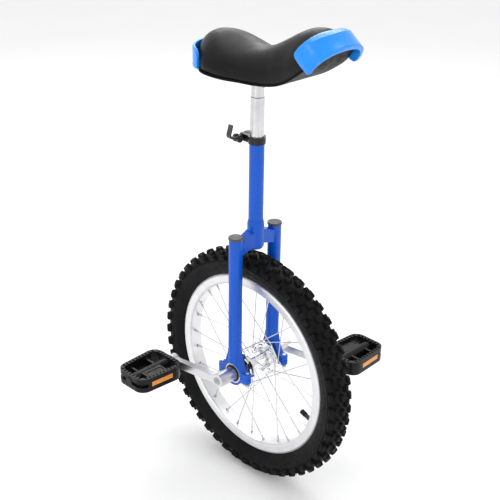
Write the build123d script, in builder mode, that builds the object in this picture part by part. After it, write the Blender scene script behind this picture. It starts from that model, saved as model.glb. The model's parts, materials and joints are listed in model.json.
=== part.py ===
from build123d import *
import os
from math import asin, cos, degrees, radians, sin

os.makedirs("parts", exist_ok=True)

# A unicycle with an 18 inch wheel. Millimetres; +X is forward, +Y the rider's left, +Z up.
# The origin is on the ground, under the middle of the axle.

# ---------------------------------------------------------------- driving dimensions
tyre_radius = 235.0          # over the tread knobs
tyre_width = 52.0
tyre_wall = 3.0
tread_depth = 6.0            # the knobs, over the casing
axle_height = tyre_radius

rim_radius = 184.0           # over the side flanges
rim_bed_radius = 165.0       # the side that faces the hub
rim_width = 32.0
bead_seat_radius = 177.5     # 355 mm bead seat
rim_wall = 3.0

spoke_count = 28
spoke_diameter = 2.0
spoke_phase = -91.3          # degrees, first spoke hole in the rim
spoke_crossings = 3
flange_offset = 30.0         # middle of a hub flange from the middle plane
flange_thickness = 3.0
flange_radius = 34.0
flange_hole_radius = 31.0
valve_angle = -20.9

axle_diameter = 17.0
bearing_offset = 50.0        # middle of a bearing, and of a fork leg
bearing_width = 12.0
bearing_radius = 20.0
ball_count = 8
ball_radius = 3.3
ball_pitch_radius = 14.25

crank_length = 114.0
crank_face = 96.0            # outer face of the boss
crank_flare = 16.0           # how much further out the pedal end stands
crank_boss_radius = 13.6
pedal_inner = 114.6          # the pedal's end next to the crank
pedal_outer = 215.5
pedal_height = 28.0
pedal_inner_half_width = 43.0
pedal_outer_half_width = 37.0
spindle_radius = 5.0

leg_diameter = 25.4
leg_top = 514.0
seat_tube_diameter = 27.2
seat_tube_bore = 25.0
seat_tube_bottom = 483.0
seat_tube_top = 695.5
collar_bottom = 683.5
collar_top = 696.5
clamp_x = -28.0              # the clamp's skewer, behind the seat tube
clamp_z = 690.0

post_diameter = 24.8
post_bottom = 565.0
post_step = 768.6
saddle_pad_bottom = 806.0    # flat part of the saddle's base, over the post's plate

# ---------------------------------------------------------------- shared geometry
AXLE = (0, 0, axle_height)
AXLE_AXIS = Axis(AXLE, (0, 1, 0))
# sketch plane for turned parts: local x runs across the wheel, local y out along a radius
RADIAL = Plane(origin=AXLE, x_dir=(0, 1, 0), z_dir=(1, 0, 0))
SIDES = {"right": -1, "left": 1}
parts = {}


def keep(name, part):
    """Label a finished piece and write its file."""
    part.label = name
    parts[name] = part
    export_step(part, f"parts/{name}.step")


def across(y, x=0.0, z=axle_height):
    """A plane that faces the rider's left, at distance y from the middle."""
    return Plane(origin=(x, y, z), x_dir=(-1, 0, 0), z_dir=(0, 1, 0))


def spoke_plane(angle, radius, y=0.0):
    """A plane square to the radius at an angle round the wheel (0 forward, 90 up)."""
    out = Vector(cos(radians(angle)), 0, sin(radians(angle)))
    return Plane(origin=Vector(0, y, axle_height) + out * radius, x_dir=(0, 1, 0), z_dir=out)


def ring(y_from, y_to, inner, outer):
    """A plain ring round the axle."""
    with BuildPart() as piece:
        with BuildSketch(across(y_from)):
            Circle(outer)
            Circle(inner, mode=Mode.SUBTRACT)
        extrude(amount=y_to - y_from)
    return piece.part


def both_sides(part):
    """A piece and its mirror image, as two solids of one node."""
    with BuildPart() as pair:
        add(part)
        mirror(about=Plane.XZ)
    return pair.part


def half_turn(part):
    """The piece turned half round the upright axis, for the other crank's side."""
    with BuildPart() as turned:
        add(part.rotate(Axis.Z, 180))
    return turned.part


spoke_step = 360 / spoke_count
spoke_angles = [spoke_phase + spoke_step * k for k in range(spoke_count)]

# ---------------------------------------------------------------- tyre and inner tube
bead_half_width = rim_width / 2 - 2.7
hook_half_width = bead_half_width - 0.9
sidewall_top = 219.0
shoulder = (23.0, 227.0)


def tyre_skin(tread=0.0):
    """The outside of the tyre's section, closed across the beads, less so much tread."""
    corner = (shoulder[0] - 0.3 * tread, shoulder[1] - tread)
    widest = (tyre_width / 2 - 0.2 * tread, sidewall_top - tread)
    with BuildLine() as line:
        ThreePointArc((-corner[0], corner[1]), (0, tyre_radius - tread), corner)
        Line(corner, widest)
        ThreePointArc(widest, (tyre_width / 2 - 2.2, 201), (14.6, rim_radius + 2.0))
        Polyline((14.6, rim_radius + 2.0), (hook_half_width, rim_radius + 0.2),
                 (hook_half_width, rim_radius - 1.9), (bead_half_width, rim_radius - 2.8),
                 (bead_half_width, bead_seat_radius + 0.1), (0, bead_seat_radius + 0.1))
        mirror(line.edges().filter_by(lambda e: e.center().X > 0.01), about=Plane.YZ)
    return line.edges()


with BuildPart() as tyre:
    with BuildSketch(RADIAL):
        make_face(tyre_skin())
        with BuildSketch(mode=Mode.PRIVATE) as cavity:
            make_face(tyre_skin(tread_depth))
            offset(amount=-tyre_wall, mode=Mode.REPLACE)
        add(cavity.sketch, mode=Mode.SUBTRACT)
        with Locations((0, bead_seat_radius)):
            Rectangle(2 * (bead_half_width - tyre_wall - 0.7), 12, mode=Mode.SUBTRACT)
    revolve(axis=AXLE_AXIS)
keep("tyre", tyre.part)

tube_gap = 0.5
tube_wall = 1.2
with BuildPart() as inner_tube:
    with BuildSketch(RADIAL):
        with BuildSketch(mode=Mode.PRIVATE) as tube_outside:
            make_face(tyre_skin(tread_depth))
            offset(amount=-(tyre_wall + tube_gap), mode=Mode.REPLACE)
        with BuildSketch(mode=Mode.PRIVATE) as tube_inside:
            make_face(tyre_skin(tread_depth))
            offset(amount=-(tyre_wall + tube_gap + tube_wall), mode=Mode.REPLACE)
        add(tube_outside.sketch)
        add(tube_inside.sketch, mode=Mode.SUBTRACT)
    revolve(axis=AXLE_AXIS)
keep("inner_tube", inner_tube.part)

# ---------------------------------------------------------------- rim, tape and valve
bridge_bottom = bead_seat_radius - rim_wall
bed_top = rim_bed_radius + rim_wall
nipple_hole_radius = 2.8
valve_hole_radius = 4.4
with BuildPart() as rim:
    with BuildSketch(RADIAL) as rim_section:
        with Locations((0, (rim_bed_radius + rim_radius) / 2)):
            Rectangle(rim_width, rim_radius - rim_bed_radius)
        fillet(rim_section.vertices().group_by(Axis.Z)[0], 4.5)
        with Locations((0, (bed_top + bridge_bottom) / 2)):
            Rectangle(rim_width - 6, bridge_bottom - bed_top, mode=Mode.SUBTRACT)
        with Locations((0, bead_seat_radius + 10)):
            Rectangle(2 * bead_half_width + 0.2, 20, mode=Mode.SUBTRACT)
        for side in (-1, 1):
            with Locations((side * (bead_half_width - 0.25), rim_radius - 0.9)):
                Rectangle(0.9, 1.8)
    revolve(axis=AXLE_AXIS)
    with Locations(*[spoke_plane(a, rim_bed_radius + 1.5, 2.0 * (-1) ** k)
                     for k, a in enumerate(spoke_angles)]):
        Cylinder(nipple_hole_radius, 8, mode=Mode.SUBTRACT)
    with Locations(*[spoke_plane(a, bead_seat_radius - 1.5) for a in spoke_angles]):
        Cylinder(4.5, 5, mode=Mode.SUBTRACT)
    with Locations(spoke_plane(valve_angle, 171)):
        Cylinder(valve_hole_radius, 20, mode=Mode.SUBTRACT)
keep("rim", rim.part)

tape_thickness = 0.6
with BuildPart() as rim_tape:
    with BuildSketch(RADIAL):
        with Locations((0, bead_seat_radius + tape_thickness / 2)):
            Rectangle(18, tape_thickness)
    revolve(axis=AXLE_AXIS)
    with Locations(spoke_plane(valve_angle, bead_seat_radius)):
        Cylinder(valve_hole_radius, 6, mode=Mode.SUBTRACT)
keep("rim_tape", rim_tape.part)

tube_bottom = bead_seat_radius + tyre_wall + 0.2
valve_end = 139.5
valve_shoulder = 150.0
valve_radius = 4.2
valve_thread_radius = 3.85
with BuildPart() as valve_stem:
    with BuildSketch(spoke_plane(valve_angle, tube_bottom)):
        Circle(valve_radius)
    extrude(amount=-(tube_bottom - valve_shoulder))
    with BuildSketch(spoke_plane(valve_angle, valve_shoulder)):
        Circle(valve_thread_radius)
    extrude(amount=-(valve_shoulder - valve_end))
keep("valve_stem", valve_stem.part)

cap_length = 12.0
with BuildPart() as valve_cap:
    with BuildSketch(spoke_plane(valve_angle, valve_shoulder - 0.3)):
        Circle(valve_thread_radius + 1.0)
    extrude(amount=-cap_length)
    with BuildSketch(spoke_plane(valve_angle, valve_shoulder - 0.3)):
        Circle(valve_thread_radius + 0.08)
    extrude(amount=-(cap_length - 1.4), mode=Mode.SUBTRACT)
keep("valve_cap", valve_cap.part)

# ---------------------------------------------------------------- spokes and nipples
elbow_outside = flange_offset + flange_thickness / 2 + 1.1
elbow_inside = flange_offset - flange_thickness / 2 - 1.1
rim_stagger = 2.0
nipple_length = 14.0
nipple_lift = 2.6            # from the rim bed's middle to the underside of the nipple's head
lacing_angle = spoke_crossings * 2 * spoke_step


def lacing(k):
    """Corner points of spoke k, from the rim to its head, with the radius of each bend."""
    side = 1 if k % 2 == 0 else -1
    outside = (k // 2) % 2 == 0
    turn = -lacing_angle if outside else lacing_angle
    rim_point = spoke_plane(spoke_angles[k], rim_bed_radius + 1.5, side * rim_stagger).origin
    hole = spoke_plane(spoke_angles[k] + turn, flange_hole_radius).origin
    elbow_y = side * (elbow_outside if outside else elbow_inside)
    head_y = side * (flange_offset + (-1 if outside else 1) * flange_thickness / 2)
    elbow = Vector(hole.X, elbow_y, hole.Z)
    head = Vector(hole.X, head_y, hole.Z)
    if not outside:
        return [rim_point, elbow, head], [1.8]
    flat = Vector(rim_point.X - hole.X, 0, rim_point.Z - hole.Z).normalized()
    edge = elbow + flat * 15
    return [rim_point, edge, elbow, head], [12, 1.8]


with BuildPart() as nipple:
    Cylinder(2.0, nipple_length, align=(Align.CENTER, Align.CENTER, Align.MAX))
    Cylinder(3.2, 2.0, align=(Align.CENTER, Align.CENTER, Align.MIN))
    with Locations((0, 0, -nipple_length)):
        Cylinder(spoke_diameter / 2 + 0.05, nipple_length + 1.2,
                 align=(Align.CENTER, Align.CENTER, Align.MIN), mode=Mode.SUBTRACT)

nipple_planes = []
with BuildPart() as spokes:
    for k in range(spoke_count):
        corners, bends = lacing(k)
        along = (corners[0] - corners[1]).normalized()
        nipple_planes.append(Plane(origin=corners[0] + along * nipple_lift, z_dir=along))
        corners[0] = corners[0] + along * (nipple_lift + 1.0)
        with BuildLine() as spoke_path:
            FilletPolyline(*corners, radius=bends)
        with BuildSketch(Plane(origin=spoke_path.line @ 0, z_dir=spoke_path.line % 0)):
            Circle(spoke_diameter / 2)
        sweep(path=spoke_path.line)
        with Locations(Plane(origin=corners[-1], z_dir=corners[-1] - corners[-2])):
            Cylinder(1.7, 0.9, align=(Align.CENTER, Align.CENTER, Align.MIN))
keep("spokes", spokes.part)

with BuildPart() as nipples:
    with Locations(*nipple_planes):
        add(nipple.part)
keep("nipples", nipples.part)

# ---------------------------------------------------------------- hub and axle
hub_end = 33.5
slot_count = 7
with BuildPart() as hub_shell:
    with BuildSketch(RADIAL):
        with BuildLine():
            half = [(0, axle_diameter / 2), (hub_end, axle_diameter / 2), (hub_end, 12.5), (31.5, 14.5),
                    (31.5, flange_radius), (28.5, flange_radius), (28.5, 21.0), (24.0, 17.5), (0, 16.5)]
            Polyline(*half, close=True)
        make_face()
    revolve(axis=AXLE_AXIS)
    mirror(about=Plane.XZ)
    for side in (-1, 1):
        with BuildSketch(across(side * flange_offset)):
            with PolarLocations(24.8, slot_count, start_angle=120):
                SlotCenterToCenter(7.5, 4.0, rotation=90)
        extrude(amount=3, both=True, mode=Mode.SUBTRACT)
    for k in range(spoke_count):
        corners, bends = lacing(k)
        with Locations(across(corners[-1].Y, corners[-1].X, corners[-1].Z)):
            Cylinder(1.4, 9, mode=Mode.SUBTRACT)
keep("hub_shell", hub_shell.part)

journal_end = 57.5
square_side = 12.6
square_end = 82.0
square_taper = 2.0
with BuildPart() as axle:
    with Locations(across(0)):
        Cylinder(axle_diameter / 2 - 0.02, 2 * journal_end)
    for side in (-1, 1):
        with BuildSketch(Plane(origin=(0, side * journal_end, axle_height), x_dir=(1, 0, 0),
                               z_dir=(0, side, 0))):
            Rectangle(square_side, square_side)
        extrude(amount=square_end - journal_end - 1, taper=square_taper)
        with Locations(across(side * 72)):
            Cylinder(4.05, 30, mode=Mode.SUBTRACT)
keep("axle", axle.part)

# ---------------------------------------------------------------- bearings
inner_ring_radius = ball_pitch_radius - ball_radius - 0.15
outer_ring_radius = ball_pitch_radius + ball_radius + 0.15
bearing_in = bearing_offset - bearing_width / 2
bearing_out = bearing_offset + bearing_width / 2

keep("bearing_inner_rings", both_sides(ring(bearing_in, bearing_out, axle_diameter / 2, inner_ring_radius)))
keep("bearing_outer_rings", both_sides(ring(bearing_in, bearing_out, outer_ring_radius, bearing_radius)))
with BuildPart() as seals:
    for start in (bearing_in + 0.1, bearing_out - 1.1):
        add(ring(start, start + 1.0, inner_ring_radius + 0.35, outer_ring_radius - 0.02))
keep("bearing_seals", both_sides(seals.part))
keep("hub_spacers", both_sides(ring(hub_end, bearing_in, axle_diameter / 2, 10.5)))
keep("crank_washers", both_sides(ring(bearing_out, journal_end, axle_diameter / 2, 11.6)))

for name, side in SIDES.items():
    places = [Location((ball_pitch_radius * cos(radians(a)), side * bearing_offset,
                        axle_height + ball_pitch_radius * sin(radians(a))))
              for a in range(0, 360, 360 // ball_count)]
    with BuildPart() as balls:
        with Locations(*places):
            Sphere(ball_radius)
    keep(f"{name}_bearing_balls", balls.part)
    with BuildPart() as cage:
        add(ring(side * bearing_offset - 4.2, side * bearing_offset + 4.2,
                 ball_pitch_radius - 0.9, ball_pitch_radius + 0.9))
        with Locations(*[spoke_plane(a, ball_pitch_radius, side * bearing_offset)
                         for a in range(0, 360, 360 // ball_count)]):
            Cylinder(ball_radius + 0.05, 6, mode=Mode.SUBTRACT)
    keep(f"{name}_bearing_cage", cage.part)

# ---------------------------------------------------------------- cranks and pedal spindles
arm_width = 16.0
arm_thickness = 12.5
eye_radius = 12.0
eye_thread_radius = 7.0
boss_inner = journal_end
recess_radius = 7.8
recess_depth = crank_face - square_end
eye_outer = crank_face + crank_flare
eye_inner = eye_outer - arm_thickness
right_pedal_x = -crank_length

with BuildPart() as right_crank:
    # the arm seen from above, flared outwards from the boss to the pedal eye
    with BuildSketch(Plane.XY.offset(axle_height - eye_radius)):
        with BuildLine():
            Polyline((0, -crank_face), (right_pedal_x + 14, -eye_outer), (right_pedal_x - 13, -eye_outer),
                     (right_pedal_x - 13, -eye_inner), (right_pedal_x + 16, -eye_inner),
                     (0, -crank_face + arm_thickness + 1.5), close=True)
        make_face()
    extrude(amount=2 * eye_radius)
    # the same arm seen from the side: slim in the middle, round at both ends
    with BuildSketch(across(-eye_outer - 5)) as arm_side:
        with Locations((crank_length / 2, 0)):
            Rectangle(crank_length, arm_width)
        Circle(crank_boss_radius - 0.4)
        with Locations((crank_length, 0)):
            Circle(eye_radius)
        waist = arm_side.vertices().filter_by(lambda v: -105 < v.X < -5 and abs(v.Y) < 12)
        fillet(waist, 16)
    extrude(amount=60, mode=Mode.INTERSECT)
    with BuildSketch(across(-crank_face)):
        Circle(crank_boss_radius)
    extrude(amount=crank_face - boss_inner)
    with BuildSketch(Plane(origin=(0, -boss_inner, axle_height), x_dir=(1, 0, 0), z_dir=(0, -1, 0))):
        Rectangle(square_side + 0.06, square_side + 0.06)
    extrude(amount=square_end - boss_inner + 0.2, taper=square_taper, mode=Mode.SUBTRACT)
    with Locations(across(-crank_face)):
        Cylinder(recess_radius, 2 * recess_depth, mode=Mode.SUBTRACT)
    with Locations(across(-eye_outer, right_pedal_x)):
        Cylinder(eye_thread_radius, 60, mode=Mode.SUBTRACT)
keep("right_crank", right_crank.part)
keep("left_crank", half_turn(right_crank.part))

bolt_head_height = 6.0
with BuildPart() as crank_bolt:
    with BuildSketch(across(-square_end)):
        Circle(7.2)
    extrude(amount=-1.5)
    with BuildSketch(across(-square_end - 1.5)):
        RegularPolygon(6.5, 6)
    extrude(amount=-bolt_head_height)
    with BuildSketch(across(-square_end)):
        Circle(4.0)
    extrude(amount=20)
keep("crank_bolts", both_sides(crank_bolt.part))

with BuildPart() as dust_cap:
    with BuildSketch(across(-crank_face)):
        Circle(recess_radius)
    extrude(amount=2.0)
    with BuildSketch(across(-crank_face)):
        SlotOverall(7, 1.6)
    extrude(amount=1.0, mode=Mode.SUBTRACT)
keep("crank_dust_caps", both_sides(dust_cap.part))

spindle_end = pedal_outer - 9.5
with BuildPart() as right_spindle:
    for start, end, radius in ((eye_inner, eye_outer, eye_thread_radius),
                               (eye_outer, pedal_inner - 0.4, 7.6),
                               (pedal_inner - 0.4, spindle_end, spindle_radius),
                               (spindle_end, spindle_end + 3.5, 4.0)):
        with BuildSketch(across(-start, right_pedal_x)):
            Circle(radius)
        extrude(amount=-(end - start))
keep("right_pedal_spindle", right_spindle.part)
keep("left_pedal_spindle", half_turn(right_spindle.part))

# ---------------------------------------------------------------- pedals
rail_thickness = 8.0
core_radius = 10.8
groove_depth, groove_height = 5.0, 8.0
panel_from, panel_to = 146.0, 190.0
panel_lift, panel_thickness = 6.5, 5.0
bush_radius = 8.0
bush_length = 14.0
end_cap_radius = 8.6
tooth_pitch = 8.0
reflector_length, reflector_height, reflector_depth = 48.0, 9.4, 3.0
reflector_y = -167.0
pedal_length = pedal_outer - pedal_inner
taper_angle = degrees(asin((pedal_inner_half_width - pedal_outer_half_width) / pedal_length))


corner_radius = 20.0
tooth_width = 3.4


def pedal_outline(inset):
    """The pedal seen from above, narrower at its outer end."""
    with BuildLine() as line:
        y_near, y_far = -pedal_inner - inset, -pedal_outer + inset
        near, far = pedal_inner_half_width - inset, pedal_outer_half_width - inset
        Polyline((right_pedal_x - near, y_near), (right_pedal_x + near, y_near),
                 (right_pedal_x + far, y_far), (right_pedal_x - far, y_far), close=True)
    return line.edges()


def rail_ring(outer_inset, inner_inset):
    """The rail seen from above, between two insets from the pedal's outline."""
    for inset, mode in ((outer_inset, Mode.ADD), (inner_inset, Mode.SUBTRACT)):
        with BuildSketch(mode=Mode.PRIVATE) as shape:
            make_face(pedal_outline(inset))
            fillet(shape.vertices(), corner_radius - inset)
        add(shape.sketch, mode=mode)


def side_frame(side):
    """A plane on the pedal's long side, at the reflector's middle."""
    half_width = pedal_inner_half_width + (pedal_outer_half_width - pedal_inner_half_width) * (
        (-reflector_y - pedal_inner) / pedal_length)
    tilt = radians(taper_angle)
    return Plane(origin=(right_pedal_x + side * half_width, reflector_y, axle_height),
                 x_dir=(side * sin(tilt), cos(tilt), 0), z_dir=(side * cos(tilt), -sin(tilt), 0))


with BuildPart() as pedal_teeth:
    # slots along the top and bottom of the rail, which stop short of its outside
    for up in (-1, 1):
        rail_face = axle_height + up * pedal_height / 2
        with Locations(*[(right_pedal_x, -(pedal_inner + 14 + tooth_pitch * i), rail_face)
                         for i in range(10)]):
            Box(2 * pedal_inner_half_width + 4, tooth_width, 4)
        with Locations(*[(right_pedal_x + tooth_pitch * i, -(pedal_inner + pedal_outer) / 2, rail_face)
                         for i in range(-3, 4)]):
            Box(tooth_width, pedal_length + 4, 4)
    with BuildSketch(Plane.XY.offset(axle_height - pedal_height)):
        rail_ring(1.8, rail_thickness + 4)
    extrude(amount=2 * pedal_height, mode=Mode.INTERSECT)

with BuildPart() as right_pedal_cage:
    with BuildSketch(Plane.XY.offset(axle_height - pedal_height / 2)):
        rail_ring(0, rail_thickness)
    extrude(amount=pedal_height)
    add(pedal_teeth.part, mode=Mode.SUBTRACT)
    # the core round the spindle, and a foot panel each side: the front one serves the top
    with Locations(across(-(pedal_inner + pedal_outer) / 2, right_pedal_x)):
        Cylinder(core_radius, pedal_length - 3)
    for side in (-1, 1):
        with Locations((right_pedal_x + side * pedal_outer_half_width / 2, -(panel_from + panel_to) / 2,
                        axle_height + side * panel_lift)):
            Box(pedal_outer_half_width, panel_to - panel_from, panel_thickness)
        with Locations((right_pedal_x + side * 22, -(panel_from + panel_to) / 2,
                        axle_height + side * (panel_lift + panel_thickness / 2))):
            Box(20, panel_to - panel_from - 6, 2, mode=Mode.SUBTRACT)
        with Locations(*[(right_pedal_x + side * pedal_outer_half_width / 2, y, axle_height)
                         for y in (-panel_from - 2, -panel_to + 2)]):
            Box(pedal_outer_half_width, 4, 14)
    # the groove that splits the outer end into two lips
    with BuildSketch(Plane.XY.offset(axle_height - groove_height / 2)):
        with Locations((right_pedal_x, -pedal_outer + 16)):
            Rectangle(120, 60, align=(Align.CENTER, Align.MAX))
        with BuildSketch(mode=Mode.PRIVATE) as kept:
            make_face(pedal_outline(groove_depth))
            fillet(kept.vertices(), corner_radius - groove_depth)
        add(kept.sketch, mode=Mode.SUBTRACT)
    extrude(amount=groove_height, mode=Mode.SUBTRACT)
    with BuildSketch(across(-pedal_outer + 2, right_pedal_x)):
        RectangleRounded(22, 20, 4)
    extrude(amount=8)
    # the bore for the spindle, its bushes and the end cap
    with BuildSketch(across(-pedal_inner, right_pedal_x)):
        Circle(spindle_radius + 0.3)
    extrude(amount=-(pedal_length + 4), mode=Mode.SUBTRACT)
    for start, length, radius in ((-pedal_inner, bush_length, bush_radius),
                                  (-pedal_outer + 10 + bush_length, bush_length, bush_radius),
                                  (-pedal_outer + 10, 14, end_cap_radius)):
        with BuildSketch(across(start, right_pedal_x)):
            Circle(radius)
        extrude(amount=-length, mode=Mode.SUBTRACT)
    # pockets for the reflectors
    for side in (-1, 1):
        with BuildSketch(side_frame(side)):
            Rectangle(reflector_length + 0.4, reflector_height + 0.4)
        extrude(amount=reflector_depth, both=True, mode=Mode.SUBTRACT)

with BuildPart() as right_bushes:
    for start in (-pedal_inner, -pedal_outer + 10 + bush_length):
        with BuildSketch(across(start, right_pedal_x)):
            Circle(bush_radius)
            Circle(spindle_radius + 0.05, mode=Mode.SUBTRACT)
        extrude(amount=-bush_length)

with BuildPart() as right_end_cap:
    with BuildSketch(across(-pedal_outer + 4, right_pedal_x)):
        Circle(end_cap_radius)
    extrude(amount=-5)

with BuildPart() as right_reflectors:
    for side in (-1, 1):
        with BuildSketch(side_frame(side)):
            Rectangle(reflector_length, reflector_height)
        extrude(amount=-(reflector_depth - 0.1))

for piece, part in (("pedal_cage", right_pedal_cage.part), ("pedal_bushes", right_bushes.part),
                    ("pedal_end_cap", right_end_cap.part), ("pedal_reflectors", right_reflectors.part)):
    keep(f"right_{piece}", part)
    keep(f"left_{piece}", half_turn(part))

# ---------------------------------------------------------------- fork legs and bearing holders
holder_radius = 24.5
holder_width = 14.0
ear_reach = 41.0
ear_height = 10.5
split_gap = 0.6
bolt_x = 34.0
holder_clear = holder_radius + 0.02
plug_height = 4.3

for name, side in SIDES.items():
    y = side * bearing_offset
    with BuildPart() as leg:
        with BuildSketch(Plane.XY.offset(axle_height)):
            with Locations((0, y)):
                Circle(leg_diameter / 2)
        extrude(amount=leg_top - axle_height)
        with Locations(across(y)):
            Cylinder(holder_clear, 60, mode=Mode.SUBTRACT)
        with Locations((0, y, axle_height)):
            Cylinder(leg_diameter / 2 - 1.6, leg_top - axle_height,
                     align=(Align.CENTER, Align.CENTER, Align.MIN), mode=Mode.SUBTRACT)
    keep(f"{name}_fork_leg", leg.part)

    for half, up in (("bearing_holder", 1), ("holder_cap", -1)):
        with BuildPart() as holder:
            if up > 0:
                # webs that flare from the leg into the ring
                with BuildSketch(across(y - holder_width / 2)):
                    with BuildLine():
                        ThreePointArc((leg_diameter / 2 - 0.6, 50), (16.4, 29), (26, 9))
                        Polyline((26, 9), (-26, 9))
                        ThreePointArc((-26, 9), (-16.4, 29), (-leg_diameter / 2 + 0.6, 50))
                        Polyline((-leg_diameter / 2 + 0.6, 50), (leg_diameter / 2 - 0.6, 50))
                    make_face()
                extrude(amount=holder_width)
                with Locations((0, y, axle_height)):
                    Cylinder(leg_diameter / 2 + 0.02, 120, mode=Mode.SUBTRACT)
            with BuildSketch(across(y - holder_width / 2)) as outline:
                Circle(holder_radius)
                with Locations((0, up * ear_height / 2)):
                    RectangleRounded(2 * ear_reach, ear_height, 4)
                knees = outline.vertices().filter_by(
                    lambda v: 20 < abs(v.X) < 28 and abs(v.Y) > ear_height - 1)
                fillet(knees, 5)
            extrude(amount=holder_width)
            with BuildSketch(Plane.XY.offset(axle_height - 60)):
                with Locations((0, y)):
                    SlotOverall(2 * ear_reach, holder_width)
            extrude(amount=120, mode=Mode.INTERSECT)
            with Locations(across(y)):
                Cylinder(bearing_radius, 60, mode=Mode.SUBTRACT)
            with Locations((0, y, axle_height + up * (split_gap / 2 - 50))):
                Box(200, 60, 100, mode=Mode.SUBTRACT)
            with Locations(*[(x, y, axle_height) for x in (-bolt_x, bolt_x)]):
                Cylinder(3.05, 60, mode=Mode.SUBTRACT)
        keep(f"{name}_{half}", holder.part)

ear_bottom = axle_height - ear_height
with BuildPart() as holder_bolts:
    for side in (-1, 1):
        for x in (-bolt_x, bolt_x):
            with BuildSketch(Plane.XY.offset(ear_bottom)):
                with Locations((x, side * bearing_offset)):
                    Circle(5.0)
            extrude(amount=-4.5)
            with BuildSketch(Plane.XY.offset(ear_bottom - 4.5)):
                with Locations((x, side * bearing_offset)):
                    RegularPolygon(2.6, 6)
            extrude(amount=2.5, mode=Mode.SUBTRACT)
            with BuildSketch(Plane.XY.offset(ear_bottom)):
                with Locations((x, side * bearing_offset)):
                    Circle(3.0)
            extrude(amount=2 * ear_height + 1.5)
keep("holder_bolts", holder_bolts.part)

with BuildPart() as leg_plug:
    with BuildSketch(Plane.XY.offset(leg_top)):
        with Locations((0, bearing_offset)):
            Circle(13.7)
    extrude(amount=plug_height)
    fillet(leg_plug.edges().group_by(Axis.Z)[-1], 1.6)
    with BuildSketch(Plane.XY.offset(leg_top)):
        with Locations((0, bearing_offset)):
            Circle(leg_diameter / 2 - 1.65)
    extrude(amount=-12)
keep("leg_plugs", both_sides(leg_plug.part))

# ---------------------------------------------------------------- crown and seat tube
sleeve_radius = 15.6
sleeve_top = 530.0
arm_height = 24.0
arm_half_width = 8.5
arm_at_sleeve = 505.5        # middle of an arm where it meets the sleeve, and the leg
arm_at_leg = 491.0
with BuildPart() as fork_crown:
    with BuildSketch(Plane.XY.offset(seat_tube_bottom + 4)):
        Circle(sleeve_radius)
    extrude(amount=sleeve_top - seat_tube_bottom - 4)
    with BuildSketch(Plane.XY.offset(sleeve_top)):
        Circle(sleeve_radius)
    extrude(amount=8, taper=10.5)
    for side in (-1, 1):
        with BuildSketch(Plane(origin=(0, side * 8, arm_at_sleeve), x_dir=(1, 0, 0), z_dir=(0, side, 0))):
            Rectangle(2 * arm_half_width + 5, arm_height + 4)
        with BuildSketch(Plane(origin=(0, side * bearing_offset, arm_at_leg), x_dir=(1, 0, 0),
                               z_dir=(0, side, 0))):
            Rectangle(2 * arm_half_width, arm_height)
        loft()
    with Locations((0, 0, seat_tube_bottom)):
        Cylinder(seat_tube_diameter / 2, 200, mode=Mode.SUBTRACT)
    with Locations(*[(0, side * bearing_offset, arm_at_leg) for side in (-1, 1)]):
        Cylinder(leg_diameter / 2, 100, mode=Mode.SUBTRACT)
keep("fork_crown", fork_crown.part)

slit_width = 2.0
with BuildPart() as seat_tube:
    with BuildSketch(Plane.XY.offset(seat_tube_bottom)):
        Circle(seat_tube_diameter / 2)
        Circle(seat_tube_bore / 2, mode=Mode.SUBTRACT)
    extrude(amount=seat_tube_top - seat_tube_bottom)
    with Locations((-seat_tube_diameter / 2, 0, seat_tube_top)):
        Box(10, slit_width, 60, mode=Mode.SUBTRACT)
keep("seat_tube", seat_tube.part)

# ---------------------------------------------------------------- seat clamp
collar_radius = 15.6
ear_half_span = 10.0         # outer faces of the two ears, across the slit
clamp_gap = 3.0
with BuildPart() as clamp_collar:
    with BuildSketch(Plane.XY.offset(collar_bottom)) as collar_plan:
        Circle(collar_radius)
        with Locations((clamp_x - 6, 0)):
            Rectangle(23, 2 * ear_half_span, align=(Align.MIN, Align.CENTER))
        fillet(collar_plan.vertices().filter_by(lambda v: v.X < clamp_x), 3)
        Circle(seat_tube_diameter / 2 + 0.02, mode=Mode.SUBTRACT)
        with Locations((clamp_x, 0)):
            Rectangle(40, clamp_gap, mode=Mode.SUBTRACT)
    extrude(amount=collar_top - collar_bottom)
    with BuildSketch(Plane.XY.offset(seat_tube_top)):
        Circle(seat_tube_diameter / 2 + 0.1)
        Circle(post_diameter / 2 + 0.35, mode=Mode.SUBTRACT)
        with Locations((clamp_x, 0)):
            Rectangle(40, clamp_gap, mode=Mode.SUBTRACT)
    extrude(amount=collar_top - seat_tube_top)
    with Locations(across(0, clamp_x, clamp_z)):
        Cylinder(3.1, 60, mode=Mode.SUBTRACT)
keep("clamp_collar", clamp_collar.part)

cam_radius = 7.0
washer_thickness = 2.5
cam_y = -(ear_half_span + washer_thickness + cam_radius + 0.1)
nut_from, nut_to = ear_half_span + 0.1, 20.0
eye_half_width = 2.4
pin_radius = 2.0
with BuildPart() as skewer:
    with Locations(across((cam_y + nut_to) / 2 + 0.5, clamp_x, clamp_z)):
        Cylinder(2.4, nut_to - cam_y + 1)
    with Locations(Plane(origin=(clamp_x, cam_y, clamp_z), z_dir=(1, 0, 0))):
        Cylinder(4.2, 2 * eye_half_width)
        Cylinder(pin_radius + 0.02, 30, mode=Mode.SUBTRACT)
keep("clamp_skewer", skewer.part)

with BuildPart() as cam_washer:
    with BuildSketch(across(-ear_half_span - washer_thickness, clamp_x, clamp_z)):
        Circle(6.0)
        Circle(2.6, mode=Mode.SUBTRACT)
    extrude(amount=washer_thickness)
keep("clamp_washer", cam_washer.part)

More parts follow.
